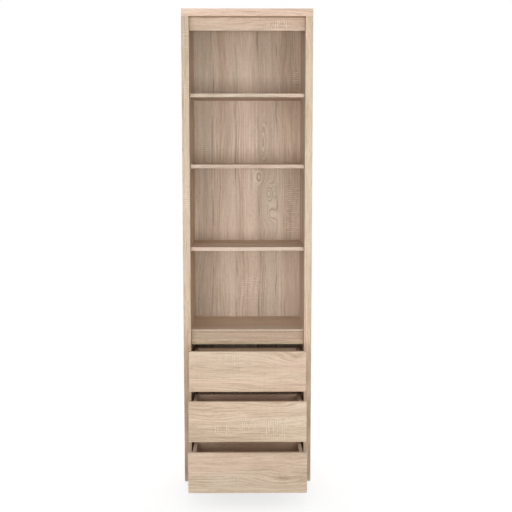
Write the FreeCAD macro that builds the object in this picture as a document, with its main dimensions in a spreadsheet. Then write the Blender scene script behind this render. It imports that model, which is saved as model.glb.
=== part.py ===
import FreeCAD
import Part
import Sketcher
import os
import re

# Tall open bookcase with three drawers, in millimetres
# X runs across, the front faces -Y, Z is up, and the floor is at zero
# The drawers stand pulled out in a cascade, the lowest one furthest

# Driving dimensions: each is a cell of the sheet, under its own name
SIZES = {
    # Carcass boards
    "carcass_width": 530,
    "carcass_depth": 350,
    "frame_thickness": 30,
    "board_thickness": 15,
    "front_setback": 45,
    "header_height": 52,
    "edge_radius": 0.8,
    # Heights of the open bays, from the fixed shelf up to the header
    "lower_bay_height": 332,
    "middle_bay_height": 327.5,
    "upper_bay_height": 274.5,
    "top_bay_height": 252,
    "shelf_end_gap": 1,
    "shelf_rear_gap": 1,
    # Fixed shelf, the rail under its lip and the stretcher over the drawers
    "shelf_over_drawers": 45.5,
    "lip_height": 9.5,
    "rail_height": 40.5,
    "rail_step_back": 2,
    "stretcher_step_back": 6,
    "stretcher_depth": 80,
    "plinth_height": 35,
    # Back panel in its rebates
    "back_thickness": 3,
    "back_rebate_depth": 4,
    "back_rebate_width": 8,
    "back_edge_gap": 0.5,
    # Drawer fronts, and how far each drawer stands open
    "front_thickness": 15,
    "front_height": 162,
    "front_side_gap": 2,
    "finger_gap": 29.5,
    "lowest_front_height": 51.5,
    "upper_drawer_open": 179,
    "middle_drawer_open": 223,
    "lower_drawer_open": 269,
    # Drawer boxes
    "box_thickness": 15,
    "box_height": 100,
    "box_rise": 10,
    "box_rear_space": 31,
    "box_bottom_thickness": 3,
    "groove_rise": 10,
    "groove_depth": 6,
    "groove_side_gap": 0.1,
    "groove_end_gap": 0.5,
    # Telescopic slides: three nested channels on each side of a drawer
    "slide_thickness": 10,
    "slide_height": 35,
    "slide_gauge": 1.2,
    "slide_gap": 0.4,
    "slide_end_gap": 2.5,
    "slide_screw_inset": 37,
    # Cam locks and their bolts
    "cam_radius": 7.5,
    "cam_depth": 12,
    "cam_inset": 24,
    "cam_slot_length": 8,
    "cam_slot_width": 1.4,
    "cam_slot_depth": 1.5,
    "cam_mouth_gap": 0.4,
    "bolt_inset": 7.5,
    "bolt_bore_radius": 4,
    "bolt_thread_radius": 2.5,
    "bolt_thread_length": 11,
    "bolt_shank_radius": 3,
    "bolt_neck_radius": 2,
    "bolt_neck_length": 4,
    "bolt_head_radius": 3.4,
    "bolt_head_length": 3,
    "joint_inset": 40,
    # Dowels
    "dowel_radius": 4,
    "dowel_length": 30,
    "dowel_face_depth": 11,
    # Shelf pins
    "pin_radius": 2.5,
    "pin_length": 9,
    "pin_inset": 40,
    "pin_plate_width": 10,
    "pin_plate_height": 13,
    "pin_plate_thickness": 1.5,
    "pin_tongue_length": 9,
    "pin_tongue_thickness": 2,
    # Screws and nails
    "screw_radius": 1.75,
    "screw_length": 12,
    "screw_head_radius": 3.5,
    "screw_head_height": 1,
    "box_screw_radius": 2.5,
    "box_screw_length": 45,
    "box_screw_head_radius": 4,
    "box_screw_head_height": 2.5,
    "box_screw_inset": 14,
    "box_cam_inset": 25,
    "nail_radius": 0.8,
    "nail_length": 20,
    "nail_head_radius": 1.75,
    "nail_head_height": 0.8,
    # Room around each fastener in its hole, and past its end
    "fastener_fit": 0.1,
    "hole_end_gap": 1,
    # Floor glides
    "glide_height": 3,
    "glide_radius": 10,
    "glide_inset": 30,
    "glide_pin_radius": 1.2,
    "glide_pin_length": 12,
    # Wall bracket under the top, at the back
    "bracket_width": 20,
    "bracket_reach": 25,
    "bracket_drop": 15,
    "bracket_gauge": 2,
    "bracket_bore_radius": 2.25,
    "bracket_bore_drop": 8.5,
    "bracket_screw_inset": 10,
    "wall_screw_clearance": 1.75,
}

# Counts
SIDE_NAIL_COUNT = 10
CROSS_NAIL_COUNT = 4

X_AXIS = FreeCAD.Vector(1, 0, 0)
Y_AXIS = FreeCAD.Vector(0, 1, 0)
Z_AXIS = FreeCAD.Vector(0, 0, 1)

doc = FreeCAD.newDocument("bookcase")
sheet = doc.addObject("Spreadsheet::Sheet", "Sizes")
for row, (alias, size) in enumerate(SIZES.items(), start=1):
    sheet.set(f"A{row}", alias)
    sheet.set(f"B{row}", str(size))
    sheet.setAlias(f"B{row}", alias)
doc.recompute()


# Bind a property to a formula in the sheet's names
def bind(thing, prop, formula):
    thing.setExpression(prop, re.sub(r"[a-z_]+", lambda word: "Sizes." + word.group(), formula))


# Bind a sketch point's two coordinates, measured from the sketch's origin
def pin_point(sketch, geometry, corner, tag, across, along):
    for axis_line, kind, formula in ((-2, "DistanceX", across), (-1, "DistanceY", along)):
        if formula == "0":
            sketch.addConstraint(Sketcher.Constraint("PointOnObject", geometry, corner, axis_line))
        else:
            place = Sketcher.Constraint(kind, -1, 1, geometry, corner, 1.0)
            index = sketch.addConstraint(place)
            name = f"{kind.lower()}_{tag}"
            sketch.renameConstraint(index, name)
            bind(sketch, f"Constraints.{name}", formula)


def new_sketch(body, role, name, offset="0"):
    sketch = body.newObject("Sketcher::SketchObject", f"{body.Label}_{name}")
    plane = next(item for item in body.Origin.OriginFeatures if item.Role == role)
    sketch.AttachmentSupport = [(plane, "")]
    sketch.MapMode = "FlatFace"
    if offset != "0":
        bind(sketch, "AttachmentOffset.Base.z", offset)
    return sketch


# A closed outline of straight lines through points given as pairs of formulas
def outline(sketch, points):
    count = len(points)
    first = sketch.GeometryCount
    for index in range(count):
        start = FreeCAD.Vector(index, index * index, 0)
        end = FreeCAD.Vector(index + 1, (index + 1) * (index + 1), 0)
        sketch.addGeometry(Part.LineSegment(start, end))
    for index in range(count):
        following = first + (index + 1) % count
        sketch.addConstraint(Sketcher.Constraint("Coincident", first + index, 2, following, 1))
    for index, (across, along) in enumerate(points):
        pin_point(sketch, first + index, 1, f"{first + index}", across, along)


def rectangle(sketch, left, low, width, height):
    right = f"{left} + {width}"
    high = f"{low} + {height}"
    outline(sketch, [(left, low), (right, low), (right, high), (left, high)])


def circle(sketch, across, along, radius):
    start = FreeCAD.Vector(3 * sketch.GeometryCount + 1, 1, 0)
    index = sketch.addGeometry(Part.Circle(start, Z_AXIS, 1.0))
    pin_point(sketch, index, 3, f"{index}", across, along)
    size = sketch.addConstraint(Sketcher.Constraint("Radius", index, 1.0))
    sketch.renameConstraint(size, f"radius_{index}")
    bind(sketch, f"Constraints.radius_{index}", radius)


def pad(body, sketch, length):
    feature = body.newObject("PartDesign::Pad", f"{sketch.Name}_pad")
    feature.Profile = sketch
    bind(feature, "Length", length)
    return feature


# A cut that reaches a depth on each side of the sketch's own plane
def pocket(body, sketch, depth):
    feature = body.newObject("PartDesign::Pocket", f"{sketch.Name}_cut")
    feature.Profile = sketch
    feature.SideType = "Symmetric"
    bind(feature, "Length", f"2 * ({depth})")
    return feature


def drill(body, role, name, offset, centres, radius, depth):
    sketch = new_sketch(body, role, name, offset)
    for across, along in centres:
        circle(sketch, across, along, radius)
    return pocket(body, sketch, depth)


def revolve(body, points):
    sketch = new_sketch(body, "XZ_Plane", "profile")
    outline(sketch, points)
    feature = body.newObject("PartDesign::Revolution", f"{sketch.Name}_turned")
    feature.Profile = sketch
    feature.ReferenceAxis = (sketch, ["V_Axis"])
    return feature


def new_body(name):
    body = doc.addObject("PartDesign::Body", name)
    body.Label = name
    return body


def put(thing, x, y, z):
    bind(thing, "Placement.Base.x", x)
    bind(thing, "Placement.Base.y", y)
    bind(thing, "Placement.Base.z", z)
    return thing


# A rectangular board, drawn from its lowest corner
def board(name, width, depth, height, x, y, z):
    body = new_body(name)
    base = new_sketch(body, "XY_Plane", "outline")
    rectangle(base, "0", "0", width, depth)
    pad(body, base, height)
    return put(body, x, y, z)


# A board with one section all along X: the outline's points are depth and height
def board_along_x(name, points, width, x, y, z):
    body = new_body(name)
    section = new_sketch(body, "YZ_Plane", "section")
    outline(section, points)
    pad(body, section, width)
    return put(body, x, y, z)


# A piece with one section all along Y: the outline's points are across and height
def board_along_y(name, points, length, x, y, z):
    body = new_body(name)
    section = new_sketch(body, "XZ_Plane", "section", f"-({length})")
    outline(section, points)
    pad(body, section, length)
    return put(body, x, y, z)


# Round over the edges that lie wholly on the front or the top of a board
def ease(body, *sides):
    doc.recompute()
    finished = body.Tip
    shape = finished.Shape
    levels = {"front": ("Y", shape.BoundBox.YMin), "top": ("Z", shape.BoundBox.ZMax)}
    chosen = []
    for index, edge in enumerate(shape.Edges, start=1):
        for side in sides:
            axis, level = levels[side]
            heights = [round(getattr(vertex, axis) - level, 4) for vertex in edge.Vertexes]
            if not any(heights) and f"Edge{index}" not in chosen:
                chosen.append(f"Edge{index}")
    feature = body.newObject("PartDesign::Fillet", f"{body.Label}_eased")
    feature.Base = (finished, chosen)
    bind(feature, "Radius", "edge_radius")


# A turn that takes a master's Z to one way and its X to another
def turn(z_way, x_way):
    return FreeCAD.Rotation(x_way, z_way.cross(x_way), z_way)


# One node of separate, like solids: a copy of the master at each place
def group(name, master, places):
    copies = []
    for index, (x, y, z, rotation) in enumerate(places, start=1):
        copy = doc.addObject("App::Link", f"{name}_copy_{index}")
        copy.LinkedObject = master
        copy.LinkTransform = False
        copy.Placement = FreeCAD.Placement(FreeCAD.Vector(), rotation)
        copies.append(put(copy, x, y, z))
    node = doc.addObject("Part::Compound", name)
    node.Label = name
    node.Links = copies
    return node


# Places that several pieces share
opening_width = "(carcass_width - 2 * frame_thickness)"
half_opening = f"({opening_width} / 2)"
front_plane = "((lower_drawer_open - carcass_depth) / 2)"
inner_depth = "(carcass_depth - back_rebate_depth)"
front_pitch = "(front_height + finger_gap)"
stack_top = "(lowest_front_height + 3 * front_height + 2 * finger_gap)"
fixed_shelf_top = f"({stack_top} + shelf_over_drawers)"
lower_shelf_top = f"({fixed_shelf_top} + lower_bay_height + board_thickness)"
middle_shelf_top = f"({lower_shelf_top} + middle_bay_height + board_thickness)"
upper_shelf_top = f"({middle_shelf_top} + upper_bay_height + board_thickness)"
header_low = f"({upper_shelf_top} + top_bay_height)"
side_height = f"({header_low} + header_height)"
rail_low = f"({fixed_shelf_top} - lip_height - rail_height)"
stretcher_low = f"({rail_low} - board_thickness)"
fixed_shelf_low = f"({fixed_shelf_top} - board_thickness)"
rail_depth = "(front_setback + rail_step_back)"
stretcher_start = f"({rail_depth} + stretcher_step_back)"
box_length = f"({inner_depth} - front_thickness - box_rear_space)"
box_width = f"({opening_width} - 2 * slide_thickness)"
box_inner_width = f"({box_width} - 2 * box_thickness)"
slide_length = f"({box_length} - 2 * slide_end_gap)"
slide_depth = "(front_thickness + slide_end_gap)"
groove_width = "(box_bottom_thickness + 2 * groove_side_gap)"
dowel_end_depth = "(dowel_length - dowel_face_depth)"
bolt_hole_radius = "(bolt_thread_radius + fastener_fit)"
dowel_hole_radius = "(dowel_radius + fastener_fit)"
screw_hole_radius = "(screw_radius + fastener_fit)"
nail_hole_radius = "(nail_radius + fastener_fit)"
nail_line = "(back_rebate_width / 2)"
bracket_screw_depth = f"({inner_depth} - bracket_reach + bracket_screw_inset)"
front_joint = "(front_setback + joint_inset)"
rear_joint = f"({inner_depth} - joint_inset)"
middle_joint = f"(({front_joint} + {rear_joint}) / 2)"

DRAWERS = {
    "upper": ("upper_drawer_open", f"(lowest_front_height + 2 * {front_pitch})"),
    "middle": ("middle_drawer_open", f"(lowest_front_height + {front_pitch})"),
    "lower": ("lower_drawer_open", "lowest_front_height"),
}
SHELF_TOPS = {"upper": upper_shelf_top, "middle": middle_shelf_top, "lower": lower_shelf_top}


# A height over the boards' lowest edge, as a height over the floor
def above_floor(height):
    return f"glide_height + {height}"


def at_depth(depth):
    return f"{front_plane} + {depth}"


# Even steps from one place to another, both ends included
def steps(start, end, count):
    return [f"({start} + {index} * ({end} - {start}) / {count - 1})" for index in range(count)]


# Side nails run up the rebates, and cross nails hold the back to the boards between
nail_heights = steps("(plinth_height + joint_inset)", f"({side_height} - joint_inset)", SIDE_NAIL_COUNT)
nail_offsets = steps("joint_inset", f"({opening_width} - joint_inset)", CROSS_NAIL_COUNT)

# Where things enter a side panel's inner face: depth from its front, height from its foot
shelf_bolts = [(depth, f"{fixed_shelf_low} + bolt_inset") for depth in (front_joint, rear_joint)]
bottom_bolts = [(depth, "plinth_height + bolt_inset") for depth in (front_joint, rear_joint)]
stretcher_bolt = (f"{stretcher_start} + stretcher_depth / 2", f"{stretcher_low} + bolt_inset")
header_bolt = ("front_setback + board_thickness - bolt_inset", f"{side_height} - header_height / 2")
rail_bolt = (f"{rail_depth} + board_thickness - bolt_inset", f"{rail_low} + rail_height / 2")
plinth_bolt = ("front_setback + board_thickness - bolt_inset", "plinth_height / 2")
side_dowels = [
    (middle_joint, f"{fixed_shelf_low} + board_thickness / 2"),
    (middle_joint, "plinth_height + board_thickness / 2"),
]
pin_places = [
    (depth, f"{top} - board_thickness - pin_radius")
    for top in SHELF_TOPS.values()
    for depth in ("front_setback + pin_inset", f"{inner_depth} - shelf_rear_gap - pin_inset")
]
slide_screw_depths = (
    f"{slide_depth} + slide_screw_inset",
    f"{slide_depth} + {slide_length} - slide_screw_inset",
)
slide_screw_places = [
    (depth, f"{low} + box_rise + box_height / 2")
    for _, low in DRAWERS.values()
    for depth in slide_screw_depths
]
top_dowel_depths = steps(front_joint, rear_joint, 4)[1:3]


# Two thick side panels, rebated behind for the back panel
def side_panel(hand):
    t, d = "frame_thickness", "carcass_depth"
    name = f"{hand}_side_panel"
    if hand == "left":
        ledge = f"{t} - back_rebate_width"
        points = [("0", "0"), (t, "0"), (t, inner_depth), (ledge, inner_depth), (ledge, d), ("0", d)]
        inner_face, bolt_line, nail_across = t, f"{t} - bolt_inset", f"{t} - {nail_line}"
        x = "-carcass_width / 2"
    else:
        ledge = "back_rebate_width"
        points = [("0", "0"), (t, "0"), (t, d), (ledge, d), (ledge, inner_depth), ("0", inner_depth)]
        inner_face, bolt_line, nail_across = "0", "bolt_inset", nail_line
        x = half_opening
    body = new_body(name)
    plan = new_sketch(body, "XY_Plane", "plan")
    outline(plan, points)
    pad(body, plan, side_height)
    put(body, x, front_plane, "glide_height")
    bolts = [*shelf_bolts, *bottom_bolts, stretcher_bolt, header_bolt, rail_bolt, plinth_bolt]
    drill(body, "YZ_Plane", "bolt_holes", inner_face, bolts, bolt_hole_radius,
          "bolt_thread_length + hole_end_gap")
    drill(body, "YZ_Plane", "dowel_holes", inner_face, side_dowels, dowel_hole_radius,
          "dowel_face_depth + hole_end_gap")
    drill(body, "YZ_Plane", "pin_holes", inner_face, pin_places, "pin_radius + fastener_fit",
          "pin_length + hole_end_gap")
    drill(body, "YZ_Plane", "slide_screw_holes", inner_face, slide_screw_places, screw_hole_radius,
          "screw_length")
    cams = [(depth, f"{side_height} - cam_inset") for depth in (front_joint, rear_joint)]
    drill(body, "YZ_Plane", "cam_housings", inner_face, cams, "cam_radius + fastener_fit", "cam_depth")
    drill(body, "XY_Plane", "cam_bores", side_height,
          [(bolt_line, depth) for depth in (front_joint, rear_joint)], "bolt_bore_radius", "cam_inset")
    drill(body, "XY_Plane", "top_dowel_holes", side_height,
          [(f"{t} / 2", depth) for depth in top_dowel_depths], dowel_hole_radius,
          f"{dowel_end_depth} + hole_end_gap")
    drill(body, "XY_Plane", "glide_holes", "0",
          [(f"{t} / 2", depth) for depth in ("glide_inset", f"{d} - glide_inset")],
          "glide_pin_radius + fastener_fit", "glide_pin_length + fastener_fit")
    drill(body, "XZ_Plane", "nail_holes", f"-{inner_depth}",
          [(nail_across, height) for height in nail_heights], nail_hole_radius, "nail_length")
    ease(body, "front")
    return body


# The top lies over both side panels
def top_panel():
    body = board("top_panel", "carcass_width", "carcass_depth", "frame_thickness",
                 "-carcass_width / 2", front_plane, above_floor(side_height))
    rebate = new_sketch(body, "XY_Plane", "rebate")
    rectangle(rebate, "frame_thickness - back_rebate_width", inner_depth,
              f"{opening_width} + 2 * back_rebate_width", "2 * back_rebate_depth")
    pocket(body, rebate, "back_rebate_width")
    bolt_lines = ("frame_thickness - bolt_inset", "carcass_width - frame_thickness + bolt_inset")
    drill(body, "XY_Plane", "bolt_holes", "0",
          [(x, y) for x in bolt_lines for y in (front_joint, rear_joint)], bolt_hole_radius,
          "bolt_thread_length + hole_end_gap")
    dowel_lines = ("frame_thickness / 2", "carcass_width - frame_thickness / 2")
    header_dowels = [
        (f"carcass_width / 2 + {way} * {opening_width} / 4", "front_setback + board_thickness / 2")
        for way in (-1, 1)
    ]
    drill(body, "XY_Plane", "dowel_holes", "0",
          [*((x, y) for x in dowel_lines for y in top_dowel_depths), *header_dowels],
          dowel_hole_radius, "dowel_face_depth + hole_end_gap")
    drill(body, "XY_Plane", "bracket_screw_hole", "0", [("carcass_width / 2", bracket_screw_depth)],
          screw_hole_radius, "screw_length")
    drill(body, "XZ_Plane", "nail_holes", f"-{inner_depth}",
          [(f"frame_thickness + {across}", nail_line) for across in nail_offsets], nail_hole_radius,
          "nail_length")
    ease(body, "front", "top")
    return body


# Bores in both ends of a board, each with its cam housing in the underside
def under_cams(body, depths):
    ends = ("0", opening_width)
    for end, tag in zip(ends, ("left", "right")):
        drill(body, "YZ_Plane", f"{tag}_bores", end, [(depth, "bolt_inset") for depth in depths],
              "bolt_bore_radius", "cam_inset")
    drill(body, "XY_Plane", "cam_housings", "0",
          [(x, depth) for x in ("cam_inset", f"{opening_width} - cam_inset") for depth in depths],
          "cam_radius + fastener_fit", "cam_depth")


# The same in an upright board, with the cam housings in its rear face
def rear_cams(body, height):
    line = "board_thickness - bolt_inset"
    for end, tag in zip(("0", opening_width), ("left", "right")):
        drill(body, "YZ_Plane", f"{tag}_bore", end, [(line, height)], "bolt_bore_radius", "cam_inset")
    drill(body, "XZ_Plane", "cam_housings", "-board_thickness",
          [(x, height) for x in ("cam_inset", f"{opening_width} - cam_inset")],
          "cam_radius + fastener_fit", "cam_depth")


def end_dowels(body, depth):
    for end, tag in zip(("0", opening_width), ("left", "right")):
        drill(body, "YZ_Plane", f"{tag}_dowel_hole", end, [(depth, "board_thickness / 2")],
              dowel_hole_radius, f"{dowel_end_depth} + hole_end_gap")


# Two upright dowels, a quarter of the opening either side of the middle
quarter_places = [f"{opening_width} / 4", f"{opening_width} * 3 / 4"]


def header_rail():
    body = board("header_rail", opening_width, "board_thickness", "header_height",
                 f"-{half_opening}", at_depth("front_setback"), above_floor(header_low))
    rear_cams(body, "header_height / 2")
    drill(body, "XY_Plane", "dowel_holes", "header_height",
          [(x, "board_thickness / 2") for x in quarter_places], dowel_hole_radius,
          f"{dowel_end_depth} + hole_end_gap")
    ease(body, "front")
    return body


# The fixed shelf's front edge is cut away below, so that the rail fits under its lip
def fixed_shelf():
    depth = f"{inner_depth} - front_setback"
    notch_depth = "rail_step_back + board_thickness"
    notch_height = "board_thickness - lip_height"
    points = [("0", notch_height), (notch_depth, notch_height), (notch_depth, "0"), (depth, "0"),
              (depth, "board_thickness"), ("0", "board_thickness")]
    body = board_along_x("fixed_shelf", points, opening_width, f"-{half_opening}",
                         at_depth("front_setback"), above_floor(fixed_shelf_low))
    under_cams(body, ("joint_inset", f"{rear_joint} - front_setback"))
    end_dowels(body, f"{middle_joint} - front_setback")
    drill(body, "XZ_Plane", "nail_holes", f"-({depth})",
          [(x, "board_thickness / 2") for x in nail_offsets], nail_hole_radius, "nail_length")
    ease(body, "front")
    return body


def front_rail():
    body = board("front_rail", opening_width, "board_thickness", "rail_height",
                 f"-{half_opening}", at_depth(rail_depth), above_floor(rail_low))
    rear_cams(body, "rail_height / 2")
    ease(body, "front")
    return body


def drawer_bay_stretcher():
    body = board("drawer_bay_stretcher", opening_width, "stretcher_depth", "board_thickness",
                 f"-{half_opening}", at_depth(stretcher_start), above_floor(stretcher_low))
    under_cams(body, ("stretcher_depth / 2",))
    ease(body, "front")
    return body


def bottom_panel():
    depth = f"{inner_depth} - front_setback"
    body = board("bottom_panel", opening_width, depth, "board_thickness", f"-{half_opening}",
                 at_depth("front_setback"), above_floor("plinth_height"))
    under_cams(body, ("joint_inset", f"{rear_joint} - front_setback"))
    end_dowels(body, f"{middle_joint} - front_setback")
    drill(body, "XY_Plane", "plinth_dowel_holes", "0",
          [(x, "board_thickness / 2") for x in quarter_places], dowel_hole_radius,
          "dowel_face_depth + hole_end_gap")
    drill(body, "XZ_Plane", "nail_holes", f"-({depth})",
          [(x, "board_thickness / 2") for x in nail_offsets], nail_hole_radius, "nail_length")
    ease(body, "front")
    return body


def plinth_board():
    body = board("plinth_board", opening_width, "board_thickness", "plinth_height",
                 f"-{half_opening}", at_depth("front_setback"), "glide_height")
    rear_cams(body, "plinth_height / 2")
    drill(body, "XY_Plane", "dowel_holes", "plinth_height",
          [(x, "board_thickness / 2") for x in quarter_places], dowel_hole_radius,
          f"{dowel_end_depth} + hole_end_gap")
    ease(body, "front")
    return body


def loose_shelf(level):
    depth = f"{inner_depth} - front_setback - shelf_rear_gap"
    low = f"({SHELF_TOPS[level]} - board_thickness)"
    body = board(f"{level}_shelf", f"{opening_width} - 2 * shelf_end_gap", depth, "board_thickness",
                 f"shelf_end_gap - {half_opening}", at_depth("front_setback"), above_floor(low))
    ease(body, "front")
    return body


# The thin back stands in the rebates and runs down to the bottom panel's underside
def back_panel():
    overlap = "(back_rebate_width - back_edge_gap)"
    body = board("back_panel", f"{opening_width} + 2 * {overlap}", "back_thickness",
                 f"{side_height} + {overlap} - plinth_height", f"-{half_opening} - {overlap}",
                 at_depth(inner_depth), above_floor("plinth_height"))
    side_lines = (f"{overlap} - {nail_line}", f"{overlap} + {opening_width} + {nail_line}")
    side_nails = [(x, f"{height} - plinth_height") for x in side_lines for height in nail_heights]
    levels = ("board_thickness / 2", f"{fixed_shelf_low} + board_thickness / 2 - plinth_height",
              f"{side_height} + {nail_line} - plinth_height")
    cross_nails = [(f"{overlap} + {x}", level) for level in levels for x in nail_offsets]
    drill(body, "XZ_Plane", "nail_holes", "0", [*side_nails, *cross_nails], nail_hole_radius,
          "back_thickness")
    drill(body, "XZ_Plane", "wall_screw_hole", "0",
          [(f"{overlap} + {half_opening}", f"{side_height} - bracket_bore_drop - plinth_height")],
          "bracket_bore_radius + wall_screw_clearance", "back_thickness")
    return body


# A steel angle that ties the bookcase to a wall through the back panel
def wall_bracket():
    r, d, g = "bracket_reach", "bracket_drop", "bracket_gauge"
    points = [(f"{r} - {g}", "0"), (r, "0"), (r, d), ("0", d), ("0", f"{d} - {g}"),
              (f"{r} - {g}", f"{d} - {g}")]
    body = board_along_x("wall_bracket", points, "bracket_width", "-bracket_width / 2",
                         at_depth(f"{inner_depth} - {r}"), above_floor(f"{side_height} - {d}"))
    drill(body, "XZ_Plane", "wall_bore", f"-{r}", [("bracket_width / 2", f"{d} - bracket_bore_drop")],
          "bracket_bore_radius", f"2 * {g}")
    drill(body, "XY_Plane", "screw_bore", d, [("bracket_width / 2", "bracket_screw_inset")],
          screw_hole_radius, f"2 * {g}")
    return body


# Fastener masters: each is drawn along Z from the face that it enters, and copied by group()
def cam_master():
    body = new_body("cam_master")
    disc = new_sketch(body, "XY_Plane", "disc")
    circle(disc, "0", "0", "cam_radius")
    pad(body, disc, "cam_depth")
    throat = "(bolt_head_radius + cam_mouth_gap)"
    mouth = new_sketch(body, "XY_Plane", "mouth", "bolt_inset")
    outline(mouth, [("-2 * cam_radius", f"-{throat}"), (throat, f"-{throat}"), (throat, throat),
                    ("-2 * cam_radius", throat)])
    pocket(body, mouth, throat)
    for tag, long, wide in (("first", "cam_slot_length", "cam_slot_width"),
                            ("second", "cam_slot_width", "cam_slot_length")):
        slot = new_sketch(body, "XY_Plane", f"{tag}_slot")
        rectangle(slot, f"-{long} / 2", f"-{wide} / 2", long, wide)
        pocket(body, slot, "cam_slot_depth")
    return body


def bolt_master():
    body = new_body("bolt_master")
    tip = "cam_inset + bolt_head_length / 2"
    head = f"{tip} - bolt_head_length"
    neck = f"{head} - bolt_neck_length"
    revolve(body, [
        ("0", "-bolt_thread_length"), ("bolt_thread_radius", "-bolt_thread_length"),
        ("bolt_thread_radius", "0"), ("bolt_shank_radius", "0"), ("bolt_shank_radius", neck),
        ("bolt_neck_radius", neck), ("bolt_neck_radius", head), ("bolt_head_radius", head),
        ("bolt_head_radius", tip), ("0", tip),
    ])
    return body


def dowel_master():
    body = new_body("dowel_master")
    section = new_sketch(body, "XY_Plane", "section", "-dowel_face_depth")
    circle(section, "0", "0", "dowel_radius")
    pad(body, section, "dowel_length")
    return body


def screw_master(name, radius, length, head_radius, head_height):
    body = new_body(name)
    revolve(body, [("0", f"-{head_height}"), (head_radius, f"-{head_height}"), (head_radius, "0"),
                   (radius, "0"), (radius, f"{length} - {radius}"), ("0", length)])
    return body


# A box screw's head lies flush in the drawer side, over a countersink
def box_screw_master():
    body = new_body("box_screw_master")
    r = "box_screw_radius"
    revolve(body, [("0", "0"), ("box_screw_head_radius", "0"), (r, "box_screw_head_height"),
                   (r, f"box_screw_length - {r}"), ("0", "box_screw_length")])
    return body


def glide_master():
    body = new_body("glide_master")
    revolve(body, [
        ("0", "-glide_height"), ("glide_radius - edge_radius", "-glide_height"),
        ("glide_radius", "edge_radius - glide_height"), ("glide_radius", "0"), ("glide_pin_radius", "0"),
        ("glide_pin_radius", "glide_pin_length"), ("0", "glide_pin_length"),
    ])
    return body


# A shelf pin: a peg in the side panel, a plate against it and a tongue under the shelf
def pin_master():
    body = new_body("pin_master")
    peg = new_sketch(body, "XY_Plane", "peg", "-pin_length")
    circle(peg, "0", "0", "pin_radius")
    pad(body, peg, "pin_length")
    high = "pin_radius"
    half = "pin_plate_width / 2"
    for tag, drop, length in (("plate", "pin_plate_height", "pin_plate_thickness"),
                              ("tongue", "pin_tongue_thickness", "pin_tongue_length")):
        section = new_sketch(body, "XY_Plane", tag)
        low = f"{high} - {drop}"
        outline(section, [(f"-{half}", low), (half, low), (half, high), (f"-{half}", high)])
        pad(body, section, length)
    return body


# Widths across the slide, from the side panel, and heights of the nested channels
middle_web = "(slide_gauge + screw_head_height + slide_gap)"
inner_rim = f"({middle_web} + slide_gauge + slide_gap)"
outer_rim = "(slide_thickness - slide_gauge - slide_gap)"
nesting = "2 * (slide_gauge + slide_gap)"
outer_height = "slide_height"
middle_height = f"(slide_height - {nesting})"
inner_height = f"({middle_height} - {nesting})"
channel_holes = ("slide_screw_inset", f"{slide_length} - slide_screw_inset")


# A channel of a slide, open on the side of its rim
def channel_master(name, web, inner_web, rim, height, holes=()):
    body = new_body(name)
    section = new_sketch(body, "XZ_Plane", "section", f"-{slide_length}")
    high = f"{height} - slide_gauge"
    outline(section, [(web, "0"), (rim, "0"), (rim, "slide_gauge"), (inner_web, "slide_gauge"),
                      (inner_web, high), (rim, high), (rim, height), (web, height)])
    pad(body, section, slide_length)
    if holes:
        drill(body, "YZ_Plane", "screw_holes", web, [(y, f"{height} / 2") for y in holes],
              screw_hole_radius, "slide_gauge")
    return body


# Ways that a copied fastener's Z points
UP = turn(Z_AXIS, X_AXIS)
DOWN = turn(-Z_AXIS, X_AXIS)
RIGHTWARD = turn(X_AXIS, Y_AXIS)
LEFTWARD = turn(-X_AXIS, -Y_AXIS)
FORWARD = turn(-Y_AXIS, X_AXIS)
BACKWARD = turn(Y_AXIS, X_AXIS)
LEVEL = FreeCAD.Rotation()
HALF_TURN = turn(-Z_AXIS, -X_AXIS)

# The two inner faces of the carcass, each with the way that leads into the opening
INNER_FACES = ((f"-{half_opening}", RIGHTWARD), (half_opening, LEFTWARD))


# Bolts, cams and dowels of the carcass, on the places that the boards were drilled for
def carcass_bolts(master):
    places = []
    for face, inward in INNER_FACES:
        for depth, height in [*shelf_bolts, *bottom_bolts, stretcher_bolt, header_bolt, rail_bolt,
                              plinth_bolt]:
            places.append((face, at_depth(depth), above_floor(height), inward))
    for side in (f"-{half_opening} - bolt_inset", f"{half_opening} + bolt_inset"):
        for depth in (front_joint, rear_joint):
            places.append((side, at_depth(depth), above_floor(side_height), DOWN))
    return group("carcass_cam_bolts", master, places)


def carcass_cams(master):
    places = []
    ends = ((f"cam_inset - {half_opening}", X_AXIS), (f"{half_opening} - cam_inset", -X_AXIS))
    undersides = [
        *((depth, low) for depth in (front_joint, rear_joint) for low in (fixed_shelf_low, "plinth_height")),
        (stretcher_bolt[0], stretcher_low),
    ]
    rear_faces = [
        (f"{start} + board_thickness", height)
        for start, (_, height) in (("front_setback", header_bolt), (rail_depth, rail_bolt),
                                   ("front_setback", plinth_bolt))
    ]
    for x, from_end in ends:
        for depth, low in undersides:
            places.append((x, at_depth(depth), above_floor(low), turn(Z_AXIS, from_end)))
        for depth, height in rear_faces:
            places.append((x, at_depth(depth), above_floor(height), turn(-Y_AXIS, from_end)))
    for face, outward in ((f"-{half_opening}", -X_AXIS), (half_opening, X_AXIS)):
        for depth in (front_joint, rear_joint):
            height = f"{side_height} - cam_inset"
            places.append((face, at_depth(depth), above_floor(height), turn(outward, -Z_AXIS)))
    return group("carcass_cam_locks", master, places)


def carcass_dowels(master):
    places = []
    for face, inward in INNER_FACES:
        for depth, height in side_dowels:
            places.append((face, at_depth(depth), above_floor(height), inward))
    side_line = f"({half_opening} + frame_thickness / 2)"
    for x in (f"-{side_line}", side_line):
        for depth in top_dowel_depths:
            places.append((x, at_depth(depth), above_floor(side_height), DOWN))
    for x in (f"-{opening_width} / 4", f"{opening_width} / 4"):
        for height in (side_height, "plinth_height"):
            depth = "front_setback + board_thickness / 2"
            places.append((x, at_depth(depth), above_floor(height), DOWN))
    return group("carcass_dowels", master, places)


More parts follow.
